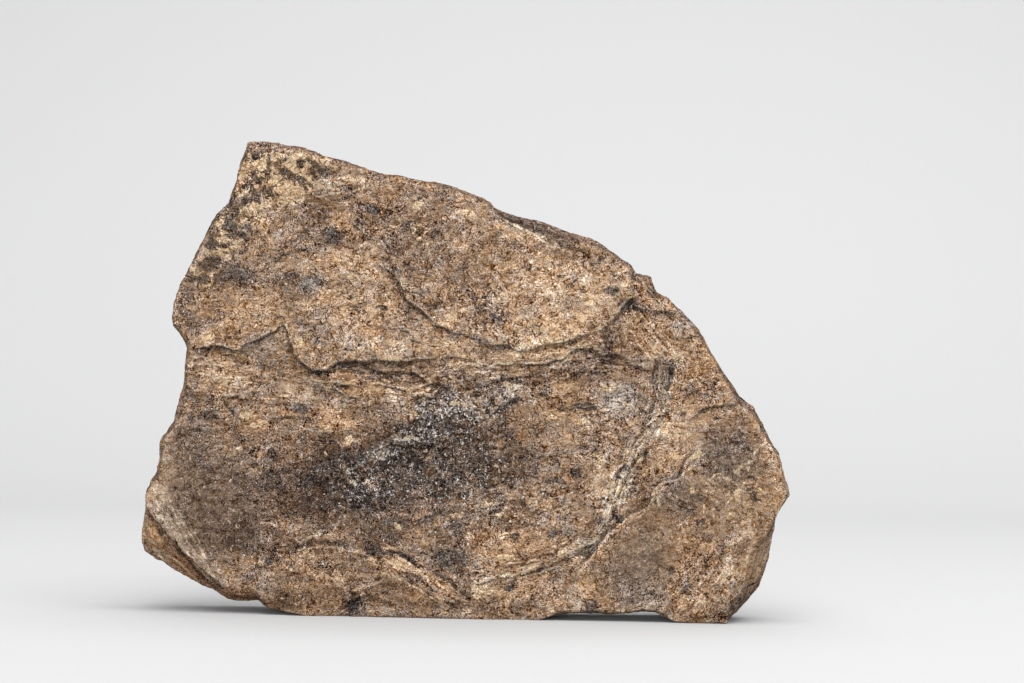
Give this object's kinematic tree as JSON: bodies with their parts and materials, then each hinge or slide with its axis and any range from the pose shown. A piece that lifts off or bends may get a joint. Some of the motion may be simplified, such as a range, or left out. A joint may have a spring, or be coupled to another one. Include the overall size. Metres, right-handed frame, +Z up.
{
  "type": "split sandstone slab",
  "caption": "Rough split slab of thin-bedded brown sandstone, the plain side of a fossil plate, standing on its long lower edge, with raised sheets, cracks and chipped, layered rims.",
  "frame": {"origin": "on the ground, under the middle of the slab's box, as it stands on its long lower edge", "axes": "+X along the base to the right as seen from the front, +Y from the front face to the back face, +Z up"},
  "size_m": [0.36, 0.049, 0.26],
  "materials": {
    "sandstone": "matte"
  },
  "bodies": {
    "root": {"stone_slab": "sandstone"}
  },
  "joints": []
}
